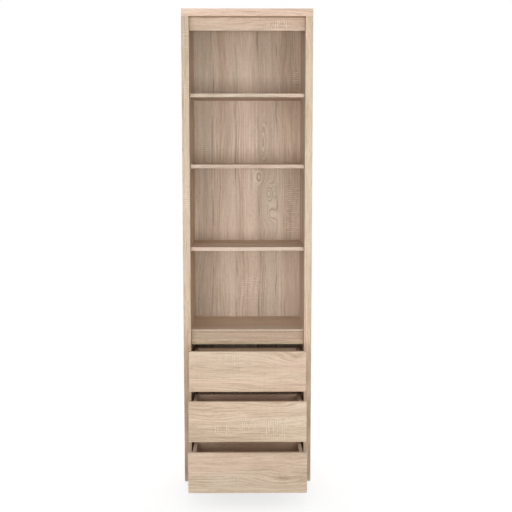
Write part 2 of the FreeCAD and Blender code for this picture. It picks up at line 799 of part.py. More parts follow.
def back_nails(master):
    rear = at_depth(f"{inner_depth} + back_thickness")
    places = []
    for x in (f"-{half_opening} - {nail_line}", f"{half_opening} + {nail_line}"):
        for height in nail_heights:
            places.append((x, rear, above_floor(height), FORWARD))
    levels = ("plinth_height + board_thickness / 2", f"{fixed_shelf_low} + board_thickness / 2",
              f"{side_height} + {nail_line}")
    for height in levels:
        for offset in nail_offsets:
            places.append((f"{offset} - {half_opening}", rear, above_floor(height), FORWARD))
    return group("back_panel_nails", master, places)


def shelf_pins(master):
    places = []
    for face, inward in INNER_FACES:
        for depth, height in pin_places:
            places.append((face, at_depth(depth), above_floor(height), inward))
    return group("shelf_pins", master, places)


# The screws that hold the outer channels, and the one under the wall bracket
def carcass_screws(master):
    bracket_low = f"{side_height} - bracket_gauge"
    places = [("0", at_depth(bracket_screw_depth), above_floor(bracket_low), UP)]
    left, right = f"slide_gauge - {half_opening}", f"{half_opening} - slide_gauge"
    for x, way in ((left, LEFTWARD), (right, RIGHTWARD)):
        for depth, height in slide_screw_places:
            places.append((x, at_depth(depth), above_floor(height), way))
    return group("carcass_screws", master, places)


def floor_glides(master):
    line = f"({half_opening} + frame_thickness / 2)"
    places = [
        (x, at_depth(depth), "glide_height", UP)
        for x in (f"-{line}", line)
        for depth in ("glide_inset", "carcass_depth - glide_inset")
    ]
    return group("floor_glides", master, places)


# A left and a right copy of one channel
def channel_pair(name, master, height, depth, middle_height):
    places = [
        (f"-{half_opening}", at_depth(depth), above_floor(f"{middle_height} - {height} / 2"), LEVEL),
        (half_opening, at_depth(depth), above_floor(f"{middle_height} + {height} / 2"), HALF_TURN),
    ]
    return group(name, master, places)


# Heights of cams in a drawer side and of box screws through it, from its lower edge
cam_levels = ("box_cam_inset", "box_height - box_cam_inset")
box_back_low = "(groove_rise + groove_side_gap + box_bottom_thickness)"
box_back_height = f"(box_height - {box_back_low})"
box_screw_levels = (f"{box_back_low} + box_screw_inset", "box_height - box_screw_inset")
box_screw_depth = f"{box_length} - box_thickness / 2"
inner_screw_depths = (
    "slide_end_gap + slide_screw_inset",
    f"slide_end_gap + {slide_length} - slide_screw_inset",
)


def drawer_front(name, face, low):
    width = f"({opening_width} - 2 * front_side_gap)"
    body = board(f"{name}_front", width, "front_thickness", "front_height",
                 f"front_side_gap - {half_opening}", face, above_floor(low))
    groove = new_sketch(body, "XZ_Plane", "groove", "-front_thickness")
    rectangle(groove, f"({width} - {box_inner_width}) / 2 - groove_depth", "box_rise + groove_rise",
              f"{box_inner_width} + 2 * groove_depth", groove_width)
    pocket(body, groove, "groove_depth")
    line = f"({width} - {box_inner_width}) / 2 - bolt_inset"
    drill(body, "XZ_Plane", "bolt_holes", "-front_thickness",
          [(x, f"box_rise + {level}") for x in (line, f"{width} - ({line})") for level in cam_levels],
          bolt_hole_radius, "bolt_thread_length + hole_end_gap")
    ease(body, "front")
    return body


def drawer_side(name, hand, start, low):
    t, h, g = "box_thickness", "box_height", "groove_depth"
    groove_low, groove_high = "groove_rise", f"groove_rise + {groove_width}"
    if hand == "left":
        points = [("0", "0"), (t, "0"), (t, groove_low), (f"{t} - {g}", groove_low),
                  (f"{t} - {g}", groove_high), (t, groove_high), (t, h), ("0", h)]
        outer_face, inner_face, line, x = "0", t, f"{t} - bolt_inset", f"-{box_width} / 2"
    else:
        points = [("0", "0"), (t, "0"), (t, h), ("0", h), ("0", groove_high), (g, groove_high),
                  (g, groove_low), ("0", groove_low)]
        outer_face, inner_face, line, x = t, "0", "bolt_inset", f"{box_width} / 2 - {t}"
    body = board_along_y(f"{name}_{hand}_side", points, box_length, x, start, above_floor(low))
    drill(body, "YZ_Plane", "cam_housings", inner_face, [("cam_inset", level) for level in cam_levels],
          "cam_radius + fastener_fit", "cam_depth")
    drill(body, "XZ_Plane", "cam_bores", "0", [(line, level) for level in cam_levels],
          "bolt_bore_radius", "cam_inset")
    drill(body, "YZ_Plane", "slide_screw_holes", outer_face, [(y, f"{h} / 2") for y in inner_screw_depths],
          screw_hole_radius, "screw_length")
    screws = [(box_screw_depth, level) for level in box_screw_levels]
    drill(body, "YZ_Plane", "box_screw_holes", outer_face, screws, "box_screw_radius + fastener_fit", t)
    drill(body, "YZ_Plane", "box_screw_sinks", outer_face, screws, "box_screw_head_radius + fastener_fit",
          "box_screw_head_height")
    ease(body, "top")
    return body


def drawer_back(name, start, low):
    body = board(f"{name}_back", box_inner_width, "box_thickness", box_back_height,
                 f"-{box_inner_width} / 2", f"{start} + {box_length} - box_thickness",
                 above_floor(f"{low} + {box_back_low}"))
    for end, tag in (("0", "left"), (box_inner_width, "right")):
        drill(body, "YZ_Plane", f"{tag}_screw_holes", end,
              [("box_thickness / 2", f"{level} - {box_back_low}") for level in box_screw_levels],
              "box_screw_radius + fastener_fit", "box_screw_length - box_thickness + hole_end_gap")
    ease(body, "top")
    return body


# The thin bottom sits in the grooves of the sides and the front and runs under the back
def drawer_bottom(name, start, low):
    overlap = "(groove_depth - groove_end_gap)"
    return board(f"{name}_bottom", f"{box_inner_width} + 2 * {overlap}", f"{box_length} + {overlap}",
                 "box_bottom_thickness", f"-{box_inner_width} / 2 - {overlap}", f"{start} - {overlap}",
                 above_floor(f"{low} + groove_rise + groove_side_gap"))


def drawer(level, masters):
    name = f"{level}_drawer"
    opened, front_low = DRAWERS[level]
    low = f"({front_low} + box_rise)"
    face = f"({front_plane} - {opened})"
    start = f"({face} + front_thickness)"
    slide_middle = f"({low} + box_height / 2)"
    cams, bolts, box_screws, slide_screws = [], [], [], []
    half_inner = f"{box_inner_width} / 2"
    for sign, outward in (("-", -X_AXIS), ("", X_AXIS)):
        for height in cam_levels:
            z = above_floor(f"{low} + {height}")
            cams.append((f"{sign}{half_inner}", f"{start} + cam_inset", z, turn(outward, Y_AXIS)))
            bolts.append((f"{sign}({half_inner} + bolt_inset)", start, z, BACKWARD))
    for x, way in ((f"-{box_width} / 2", RIGHTWARD), (f"{box_width} / 2", LEFTWARD)):
        for height in box_screw_levels:
            z = above_floor(f"{low} + {height}")
            box_screws.append((x, f"{start} + {box_screw_depth}", z, way))
    channel_face = f"({box_width} / 2 + slide_gauge)"
    for x, way in ((f"-{channel_face}", RIGHTWARD), (channel_face, LEFTWARD)):
        for depth in inner_screw_depths:
            slide_screws.append((x, f"{start} + {depth}", above_floor(slide_middle), way))
    return [
        drawer_front(name, face, front_low),
        drawer_side(name, "left", start, low),
        drawer_side(name, "right", start, low),
        drawer_back(name, start, low),
        drawer_bottom(name, start, low),
        group(f"{name}_cam_locks", masters["cam"], cams),
        group(f"{name}_cam_bolts", masters["bolt"], bolts),
        group(f"{name}_box_screws", masters["box_screw"], box_screws),
        group(f"{name}_slide_screws", masters["screw"], slide_screws),
        channel_pair(f"{name}_outer_channels", masters["outer_channel"], outer_height, slide_depth,
                     slide_middle),
        channel_pair(f"{name}_middle_channels", masters["middle_channel"], middle_height,
                     f"{slide_depth} - {opened} / 2", slide_middle),
        channel_pair(f"{name}_inner_channels", masters["inner_channel"], inner_height,
                     f"{slide_depth} - {opened}", slide_middle),
    ]


masters = {
    "cam": cam_master(),
    "bolt": bolt_master(),
    "dowel": dowel_master(),
    "pin": pin_master(),
    "glide": glide_master(),
    "box_screw": box_screw_master(),
    "screw": screw_master("screw_master", "screw_radius", "screw_length", "screw_head_radius",
                          "screw_head_height"),
    "nail": screw_master("nail_master", "nail_radius", "nail_length", "nail_head_radius",
                         "nail_head_height"),
    "outer_channel": channel_master("outer_channel_master", "0", "slide_gauge", outer_rim, outer_height,
                                    channel_holes),
    "middle_channel": channel_master("middle_channel_master", middle_web, f"{middle_web} + slide_gauge",
                                     outer_rim, middle_height),
    "inner_channel": channel_master("inner_channel_master", "slide_thickness",
                                    "slide_thickness - slide_gauge", inner_rim, inner_height,
                                    channel_holes),
}

nodes = [
    side_panel("left"),
    side_panel("right"),
    top_panel(),
    header_rail(),
    back_panel(),
    *(loose_shelf(level) for level in SHELF_TOPS),
    fixed_shelf(),
    front_rail(),
    drawer_bay_stretcher(),
    bottom_panel(),
    plinth_board(),
    wall_bracket(),
    floor_glides(masters["glide"]),
    shelf_pins(masters["pin"]),
    carcass_cams(masters["cam"]),
    carcass_bolts(masters["bolt"]),
    carcass_dowels(masters["dowel"]),
    carcass_screws(masters["screw"]),
    back_nails(masters["nail"]),
]
for level in DRAWERS:
    nodes.extend(drawer(level, masters))
doc.recompute()

# Every object must have worked out, and every cut must have cut something
for thing in doc.Objects:
    if "Invalid" in thing.State or "Error" in thing.State:
        raise RuntimeError(f"{thing.Label} failed: {thing.State}")
    if thing.TypeId == "PartDesign::Pocket" and thing.Shape.Volume >= thing.BaseFeature.Shape.Volume:
        raise RuntimeError(f"{thing.Label} cuts nothing")
for node in nodes:
    if node.Shape.isNull() or not node.Shape.isValid() or not node.Shape.Solids:
        raise RuntimeError(f"{node.Label} has no valid solid")

os.makedirs("parts", exist_ok=True)
for node in nodes:
    node.Shape.exportStep(f"parts/{node.Label}.step")
print(f"{len(nodes)} nodes, {sum(len(node.Shape.Solids) for node in nodes)} solids")
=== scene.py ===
import bpy
import bmesh
import math
from mathutils import Matrix, Vector


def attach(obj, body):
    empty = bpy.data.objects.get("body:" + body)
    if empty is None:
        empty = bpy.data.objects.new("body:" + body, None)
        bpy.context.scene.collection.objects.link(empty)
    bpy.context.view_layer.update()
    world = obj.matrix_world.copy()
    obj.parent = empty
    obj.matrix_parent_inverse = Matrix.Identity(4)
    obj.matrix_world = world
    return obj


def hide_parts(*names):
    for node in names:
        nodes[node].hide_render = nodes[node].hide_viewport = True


# Tall bookcase in pale saw-marked oak foil, its three drawers pulled out in a cascade
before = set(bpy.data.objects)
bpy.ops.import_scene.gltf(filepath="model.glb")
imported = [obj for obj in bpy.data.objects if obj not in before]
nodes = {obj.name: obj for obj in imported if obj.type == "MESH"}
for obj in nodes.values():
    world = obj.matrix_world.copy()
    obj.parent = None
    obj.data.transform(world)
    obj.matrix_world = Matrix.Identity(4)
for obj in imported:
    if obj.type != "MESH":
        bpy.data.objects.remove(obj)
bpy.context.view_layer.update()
scene = bpy.context.scene
print("frame loaded:", len(nodes), "nodes")


# small helpers for shader trees
def srgb(red, green, blue):
    def linear(value):
        value /= 255
        return value / 12.92 if value <= 0.04045 else ((value + 0.055) / 1.055) ** 2.4
    return (linear(red), linear(green), linear(blue), 1.0)


def add(tree, kind, inputs=None, **settings):
    made = tree.nodes.new(kind)
    for name, value in settings.items():
        setattr(made, name, value)
    for key, value in (inputs or {}).items():
        if isinstance(value, bpy.types.NodeSocket):
            tree.links.new(value, made.inputs[key])
        else:
            made.inputs[key].default_value = value
    return made


def calc(tree, operation, *values, clamp=False):
    return add(tree, "ShaderNodeMath", dict(enumerate(values)), operation=operation, use_clamp=clamp).outputs[0]


def remap(tree, value, low, high, newLow=0.0, newHigh=1.0, smooth=True):
    inputs = {"Value": value, "From Min": low, "From Max": high, "To Min": newLow, "To Max": newHigh}
    kind = "SMOOTHSTEP" if smooth else "LINEAR"
    return add(tree, "ShaderNodeMapRange", inputs, interpolation_type=kind).outputs[0]


def blend(tree, factor, first, second, how="MIX"):
    made = add(tree, "ShaderNodeMix", {0: factor, 6: first, 7: second}, data_type="RGBA", blend_type=how)
    return made.outputs[2]


# A colour made lighter or darker by a number
def shaded(tree, color, shade):
    grey = add(tree, "ShaderNodeCombineColor", {0: shade, 1: shade, 2: shade}).outputs[0]
    return blend(tree, 1.0, color, grey, "MULTIPLY")


def pick(tree, factor, first, second):
    return add(tree, "ShaderNodeMix", {0: factor, 2: first, 3: second}, data_type="FLOAT").outputs[0]


def point(tree, x, y, z):
    return add(tree, "ShaderNodeCombineXYZ", {0: x, 1: y, 2: z}).outputs[0]


def split(tree, vector):
    made = add(tree, "ShaderNodeSeparateXYZ", {0: vector})
    return made.outputs[0], made.outputs[1], made.outputs[2]


# Noise on a point whose three numbers are each stretched by its own factor
def noise(tree, place, stretch, detail=2.0, roughness=0.5):
    scaled = [calc(tree, "MULTIPLY", value, factor) for value, factor in zip(place, stretch)]
    inputs = {"Vector": point(tree, *scaled), "Scale": 1.0, "Detail": detail, "Roughness": roughness}
    return add(tree, "ShaderNodeTexNoise", inputs).outputs["Fac"]


# 1 for rays that show a thing itself, whether straight, in a gloss or through glass
def seenRay(tree):
    rays = add(tree, "ShaderNodeLightPath")
    return anyOf(tree, [rays.outputs[label] for label in ("Is Camera Ray", "Is Glossy Ray", "Is Transmission Ray")])


def anyOf(tree, masks):
    total = masks[0]
    for mask in masks[1:]:
        total = calc(tree, "MAXIMUM", total, mask)
    return total


def newGroup(name, inputs, outputs):
    tree = bpy.data.node_groups.new(name, "ShaderNodeTree")
    for label, kind, start in inputs:
        made = tree.interface.new_socket(label, in_out="INPUT", socket_type=f"NodeSocket{kind}")
        made.default_value = start
    for label, kind in outputs:
        tree.interface.new_socket(label, in_out="OUTPUT", socket_type=f"NodeSocket{kind}")
    return tree, add(tree, "NodeGroupInput"), add(tree, "NodeGroupOutput")


# Oak foil: wavy figure, rings, streaks, pores and the saw marks across them
oakTones = {
    "light": srgb(235, 215, 194),
    "middle": srgb(219, 196, 173),
    "dark": srgb(190, 164, 140),
    "pore": srgb(140, 112, 88),
    "sawStroke": srgb(247, 232, 212),
    "sawGap": srgb(178, 150, 122),
    "rose": (1.03, 0.985, 0.955, 1.0),
    "ochre": (0.985, 1.0, 0.955, 1.0),
}
# each layer's stretch along, across and through the board, then its detail and roughness
oakLayers = {
    "slowWave": ((1.8, 7.0, 7.0), 2.0),
    "quickWave": ((8.5, 42.0, 42.0), 3.0, 0.6),
    "bands": ((0.9, 13.0, 13.0), 2.0, 0.5),
    "streaks": ((3.4, 80.0, 80.0), 3.0, 0.6),
    "fine": ((12.0, 280.0, 280.0), 3.0, 0.6),
    "pores": ((48.0, 1250.0, 1250.0), 1.0),
    "ringPlaces": ((2.0, 16.0, 16.0), 2.0),
    "hue": ((1.4, 12.0, 12.0), 1.0),
    "rungDrift": ((22.0, 30.0, 1.0),),
    "brokenRungs": ((105.0, 44.0, 1.0), 3.0, 0.65),
}
# waves in metres, rings and curls to the metre, and how much each layer changes the tone
oakGrain = {
    "slowWave": 0.075, "quickWave": 0.008, "rings": 88.0, "ringDrift": 3.0, "ringSharpness": 3.5, "ringMean": 0.22,
    "curls": 52.0, "curlDrift": 5.0, "bandTone": 1.5, "streakTone": 1.1, "ringTone": 0.55, "fineTone": 1.7,
    "poreTone": 0.34, "rungStep": 0.0088, "rungDrift": 5.0, "strokeTone": 0.72, "gapTone": 0.28,
}
oakSurface = {
    "poreDepth": -0.55, "fineHeight": 0.45, "strokeHeight": 0.5, "roughness": 0.46, "fineRoughness": 0.1,
    "poreRoughness": 0.12,
}


def makeOakGroup():
    tree, start, end = newGroup("oakFoil", [
        ("Grain", "Vector", (0, 0, 0)), ("Light", "Color", oakTones["light"]),
        ("Middle", "Color", oakTones["middle"]), ("Dark", "Color", oakTones["dark"]),
        ("Bands", "Float", 1.0), ("Streaks", "Float", 1.0), ("Rings", "Float", 1.0), ("Hue", "Float", 1.0),
        ("Saw", "Float", 0.0), ("Shift", "Float", 0.0), ("Figure", "Float", 0.0), ("Curl", "Float", 0.0),
    ], [("Color", "Color"), ("Height", "Float"), ("Roughness", "Float")])
    along, across, depth = split(tree, start.outputs["Grain"])
    across = calc(tree, "ADD", across, start.outputs["Shift"])
    straight = (along, across, depth)
    slow = noise(tree, straight, *oakLayers["slowWave"])
    quick = noise(tree, straight, *oakLayers["quickWave"])
    warp = calc(tree, "MULTIPLY_ADD", calc(tree, "SUBTRACT", slow, 0.5), oakGrain["slowWave"],
                calc(tree, "MULTIPLY", calc(tree, "SUBTRACT", quick, 0.5), oakGrain["quickWave"]))
    waved = calc(tree, "ADD", across, warp)
    place = (along, waved, depth)
    bands = noise(tree, place, *oakLayers["bands"])
    streaks = noise(tree, place, *oakLayers["streaks"])
    fine = noise(tree, place, *oakLayers["fine"])
    pores = remap(tree, noise(tree, place, *oakLayers["pores"]), 0.56, 0.68)

    # each year's ring darkens slowly and ends at once, and shows in places only
    ring = calc(tree, "FRACT", calc(tree, "MULTIPLY_ADD", waved, oakGrain["rings"],
                                    calc(tree, "MULTIPLY", bands, oakGrain["ringDrift"])))
    ring = calc(tree, "SUBTRACT", oakGrain["ringMean"], calc(tree, "POWER", ring, oakGrain["ringSharpness"]))
    shown = remap(tree, noise(tree, straight, *oakLayers["ringPlaces"]), 0.42, 0.66)
    shown = calc(tree, "MAXIMUM", shown, start.outputs["Figure"])
    ringTone = calc(tree, "MULTIPLY", calc(tree, "MULTIPLY", ring, shown), start.outputs["Rings"])
    bandTone = calc(tree, "MULTIPLY", calc(tree, "SUBTRACT", bands, 0.5), start.outputs["Bands"])
    streakTone = calc(tree, "MULTIPLY", calc(tree, "SUBTRACT", streaks, 0.5), start.outputs["Streaks"])
    fineTone = calc(tree, "MULTIPLY", calc(tree, "SUBTRACT", fine, 0.5), start.outputs["Streaks"])
    tone = calc(tree, "MULTIPLY_ADD", bandTone, oakGrain["bandTone"], 0.5)
    tone = calc(tree, "MULTIPLY_ADD", streakTone, oakGrain["streakTone"], tone)
    tone = calc(tree, "MULTIPLY_ADD", ringTone, oakGrain["ringTone"], tone)

    # broad loops inside a figure, about 2 cm from one to the next
    curl = calc(tree, "SINE", calc(tree, "MULTIPLY_ADD", waved, 2 * math.pi * oakGrain["curls"],
                                   calc(tree, "MULTIPLY", quick, oakGrain["curlDrift"])))
    curl = calc(tree, "MULTIPLY", calc(tree, "MULTIPLY", curl, start.outputs["Figure"]), start.outputs["Curl"])
    tone = calc(tree, "ADD", tone, curl)
    tone = calc(tree, "MULTIPLY_ADD", fineTone, oakGrain["fineTone"], tone, clamp=True)
    lower = blend(tree, remap(tree, tone, 0.0, 0.5, smooth=False), start.outputs["Dark"], start.outputs["Middle"])
    color = blend(tree, remap(tree, tone, 0.5, 1.0, smooth=False), lower, start.outputs["Light"])
    hue = remap(tree, noise(tree, place, *oakLayers["hue"]), 0.35, 0.65)
    color = blend(tree, start.outputs["Hue"], color, blend(tree, hue, oakTones["ochre"], oakTones["rose"]), "MULTIPLY")
    color = blend(tree, calc(tree, "MULTIPLY", pores, oakGrain["poreTone"]), color, oakTones["pore"])

    # the saw left short strokes square to the grain, a little under a centimetre apart
    drift = calc(tree, "MULTIPLY", noise(tree, straight, *oakLayers["rungDrift"]), oakGrain["rungDrift"])
    rung = calc(tree, "SINE", calc(tree, "MULTIPLY_ADD", along, 2 * math.pi / oakGrain["rungStep"], drift))
    broken = remap(tree, noise(tree, straight, *oakLayers["brokenRungs"]), 0.4, 0.62)
    stroke = calc(tree, "MULTIPLY", remap(tree, rung, 0.25, 0.95), broken)
    gap = calc(tree, "MULTIPLY", remap(tree, rung, -0.25, -0.95), broken)
    stroke = calc(tree, "MULTIPLY", stroke, start.outputs["Saw"])
    gap = calc(tree, "MULTIPLY", gap, start.outputs["Saw"])
    color = blend(tree, calc(tree, "MULTIPLY", stroke, oakGrain["strokeTone"]), color, oakTones["sawStroke"])
    color = blend(tree, calc(tree, "MULTIPLY", gap, oakGrain["gapTone"]), color, oakTones["sawGap"])

    height = calc(tree, "MULTIPLY_ADD", pores, oakSurface["poreDepth"],
                  calc(tree, "MULTIPLY", fine, oakSurface["fineHeight"]))
    height = calc(tree, "MULTIPLY_ADD", stroke, oakSurface["strokeHeight"], height)
    rough = calc(tree, "MULTIPLY_ADD", fine, oakSurface["fineRoughness"], oakSurface["roughness"])
    rough = calc(tree, "MULTIPLY_ADD", pores, oakSurface["poreRoughness"], rough)
    for label, value in (("Color", color), ("Height", height), ("Roughness", rough)):
        tree.links.new(value, end.inputs[label])
    return tree


# Raw chipboard and fibreboard, where a board has no foil
chipLook = {
    "dark": srgb(150, 116, 82), "light": srgb(206, 176, 136), "flakes": 330.0, "clouds": (160.0, 160.0, 160.0),
    "flakeTone": 0.6, "cloudTone": 0.4,
}
fibreTones = (srgb(142, 108, 74), srgb(174, 138, 98))


def makeChipGroup():
    tree, start, end = newGroup("chipboard", [
        ("Place", "Vector", (0, 0, 0)), ("Dark", "Color", chipLook["dark"]), ("Light", "Color", chipLook["light"]),
    ], [("Color", "Color"), ("Height", "Float")])
    cells = add(tree, "ShaderNodeTexVoronoi", {"Vector": start.outputs["Place"], "Scale": chipLook["flakes"]})
    flake = split(tree, cells.outputs["Color"])[0]
    cloud = noise(tree, split(tree, start.outputs["Place"]), chipLook["clouds"], 3.0, 0.6)
    tone = calc(tree, "MULTIPLY_ADD", flake, chipLook["flakeTone"],
                calc(tree, "MULTIPLY", cloud, chipLook["cloudTone"]))
    color = blend(tree, tone, start.outputs["Dark"], start.outputs["Light"])
    tree.links.new(color, end.inputs["Color"])
    tree.links.new(tone, end.inputs["Height"])
    return tree


oakGroup = makeOakGroup()
chipGroup = makeChipGroup()


def newMaterial(name):
    made = bpy.data.materials.new(name)
    made.use_nodes = True
    made.node_tree.nodes.clear()
    return made, made.node_tree


def finishMaterial(tree, color, roughness, height, strength, distance, metallic=0.0, specular=0.5):
    shader = add(tree, "ShaderNodeBsdfPrincipled", {
        "Base Color": color, "Roughness": roughness, "Metallic": metallic, "Specular IOR Level": specular,
    })
    relief = add(tree, "ShaderNodeBump", {"Height": height, "Strength": strength, "Distance": distance})
    tree.links.new(relief.outputs[0], shader.inputs["Normal"])
    output = add(tree, "ShaderNodeOutputMaterial")
    tree.links.new(shader.outputs[0], output.inputs["Surface"])


# A soft-edged patch on a board: the box gives its left, low, right and high edge
def patch(tree, across, along, box):
    left, low, right, high = box
    masks = []
    for value, first, last in ((across, left, right), (along, low, high)):
        away = calc(tree, "ABSOLUTE", calc(tree, "SUBTRACT", value, (first + last) / 2))
        half = (last - first) / 2
        masks.append(remap(tree, away, half * 1.25, half * 0.75))
    return calc(tree, "MULTIPLY", *masks)


# A soft round swelling, 1 in its middle
def swelling(tree, across, along, middleX, middleZ, halfX, halfZ):
    x = calc(tree, "DIVIDE", calc(tree, "SUBTRACT", across, middleX), halfX)
    z = calc(tree, "DIVIDE", calc(tree, "SUBTRACT", along, middleZ), halfZ)
    square = calc(tree, "ADD", calc(tree, "MULTIPLY", x, x), calc(tree, "MULTIPLY", z, z))
    return calc(tree, "EXPONENT", calc(tree, "MULTIPLY", square, -1.0))


# Planks in the foil's print: each seam's place, its softness, and the brightness of the plank that starts there
def plankTone(tree, across, along, planks):
    wander = noise(tree, (across, along, 0.0), (1.0, 5.0, 1.0), 3.0)
    x = calc(tree, "MULTIPLY_ADD", calc(tree, "SUBTRACT", wander, 0.5), planks["wander"], across)
    tone = before = planks["first"]
    for seam, width, brightness in planks["seams"]:
        step = remap(tree, x, seam - width, seam + width)
        tone = calc(tree, "MULTIPLY_ADD", step, brightness - before, tone)
        before = brightness
        away = calc(tree, "ABSOLUTE", calc(tree, "SUBTRACT", x, seam))
        places = remap(tree, noise(tree, (across, along, 7.0 * seam), (30.0, 6.0, 1.0), 3.0), 0.4, 0.62)
        dark = calc(tree, "MULTIPLY", remap(tree, away, planks["seamHalf"], 0.0), places)
        tone = calc(tree, "MULTIPLY_ADD", dark, planks["seamTone"], tone)
    return tone


# A face looks towards an axis when that part of its normal is above the limit. A band of painted light and shade has
# its full strength over the core's share of its half height. Each board's place in the pattern goes up by the steps
# times its seed.
facingLimit, paintedBandCore, seedSteps = 0.6, 0.4, (1.37, 0.731, 0.113)


# 1 where the board's face looks towards a side, such as "-y"
def faces(tree, facing, side):
    towards = calc(tree, "MULTIPLY", facing[side[1]], 1.0 if side[0] == "+" else -1.0)
    return calc(tree, "GREATER_THAN", towards, facingLimit)


# Oak foil on a board: grain runs along one axis, and along endAxis on the board's two ends.
# Bands across its front and soft spots are painted light and shade, each a factor of brightness, and face tints paint
# faces lighter and darker as light falls on them.
def oakMaterial(name, grain, endAxis, seed, tones=None, bands=1.0, streaks=1.0, rings=1.0, hue=1.0, curl=0.0,
                saw=0.0, patches=(), figures=(), planks=None, paintedBands=(), paintedShades=(), tint=(1.0, 1.0, 1.0),
                paintedFaceLight=None, rawFaces=(), rawTones=None):
    made, tree = newMaterial(name)
    coordinates = add(tree, "ShaderNodeTexCoord")
    place = dict(zip("xyz", split(tree, coordinates.outputs["Object"])))
    facing = dict(zip("xyz", split(tree, coordinates.outputs["Normal"])))
    others = [axis for axis in "xyz" if axis != grain]
    crossAxis = next(axis for axis in others if axis != endAxis)
    onEnd = calc(tree, "GREATER_THAN", calc(tree, "ABSOLUTE", facing[grain]), facingLimit)
    along = pick(tree, onEnd, place[grain], place[endAxis])
    across = pick(tree, onEnd, calc(tree, "ADD", place[others[0]], place[others[1]]), place[crossAxis])
    along, across = calc(tree, "ADD", along, seedSteps[0] * seed), calc(tree, "ADD", across, seedSteps[1] * seed)
    vector = point(tree, along, across, seedSteps[2] * seed)
    oak = add(tree, "ShaderNodeGroup", node_tree=oakGroup)
    tree.links.new(vector, oak.inputs["Grain"])
    for label, color in (tones or {}).items():
        oak.inputs[label].default_value = color
    oak.inputs["Bands"].default_value = bands
    oak.inputs["Streaks"].default_value = streaks
    oak.inputs["Rings"].default_value = rings
    oak.inputs["Hue"].default_value = hue
    oak.inputs["Curl"].default_value = curl
    masks = [patch(tree, place["x"], place["z"], box) for box in patches]
    if saw:
        scattered = noise(tree, (place["x"], place["y"], place["z"]), (9.0, 9.0, 9.0), 1.0)
        masks.append(calc(tree, "MULTIPLY", remap(tree, scattered, 0.6, 0.72), saw))
    if masks:
        tree.links.new(anyOf(tree, masks), oak.inputs["Saw"])
    if figures:
        # a swelling in the grain's lines closes them into loops round it
        shift, shown = 0.0, 0.0
        for *spot, rise in figures:
            swell = swelling(tree, place["x"], place["z"], *spot)
            shift = calc(tree, "MULTIPLY_ADD", swell, rise, shift)
            shown = calc(tree, "MAXIMUM", calc(tree, "MULTIPLY", swell, 1.5), shown)
        tree.links.new(shift, oak.inputs["Shift"])
        tree.links.new(shown, oak.inputs["Figure"])
    color = (*tint, 1.0)
    # painted light and shade: each face tint brightens or darkens the faces that look one way
    for side, own in (paintedFaceLight or {}).items():
        color = blend(tree, faces(tree, facing, side), color, (*own, 1.0))
    color = blend(tree, 1.0, oak.outputs["Color"], color, "MULTIPLY")
    height = oak.outputs["Height"]
    if planks or paintedBands or paintedShades:
        tone = plankTone(tree, place["x"], place["z"], planks) if planks else 1.0
        # painted light and shade in bands across the front faces, by height
        for level, half, factor in paintedBands:
            away = calc(tree, "ABSOLUTE", calc(tree, "SUBTRACT", place["z"], level))
            line = calc(tree, "MULTIPLY", remap(tree, away, half, half * paintedBandCore), faces(tree, facing, "-y"))
            tone = calc(tree, "MULTIPLY_ADD", line, factor - 1.0, tone)
        # painted light and shade in soft round spots
        for *spot, factor in paintedShades:
            spread = swelling(tree, place["x"], place["z"], *spot)
            tone = calc(tree, "MULTIPLY_ADD", spread, factor - 1.0, tone)
        color = shaded(tree, color, tone)
    if rawFaces:
        raw = anyOf(tree, [faces(tree, facing, side) for side in rawFaces])
        chip = add(tree, "ShaderNodeGroup", node_tree=chipGroup)
        tree.links.new(coordinates.outputs["Object"], chip.inputs["Place"])
        if rawTones:
            chip.inputs["Dark"].default_value, chip.inputs["Light"].default_value = rawTones
        color = blend(tree, raw, color, chip.outputs["Color"])
        height = pick(tree, raw, height, chip.outputs["Height"])
    finishMaterial(tree, color, oak.outputs["Roughness"], height, 0.35, 0.0003, specular=0.35)
    return made


def dress(node, material):
    target = nodes[node]
    target.data.materials.clear()
    target.data.materials.append(material)
    for face in target.data.polygons:
        face.material_index = 0
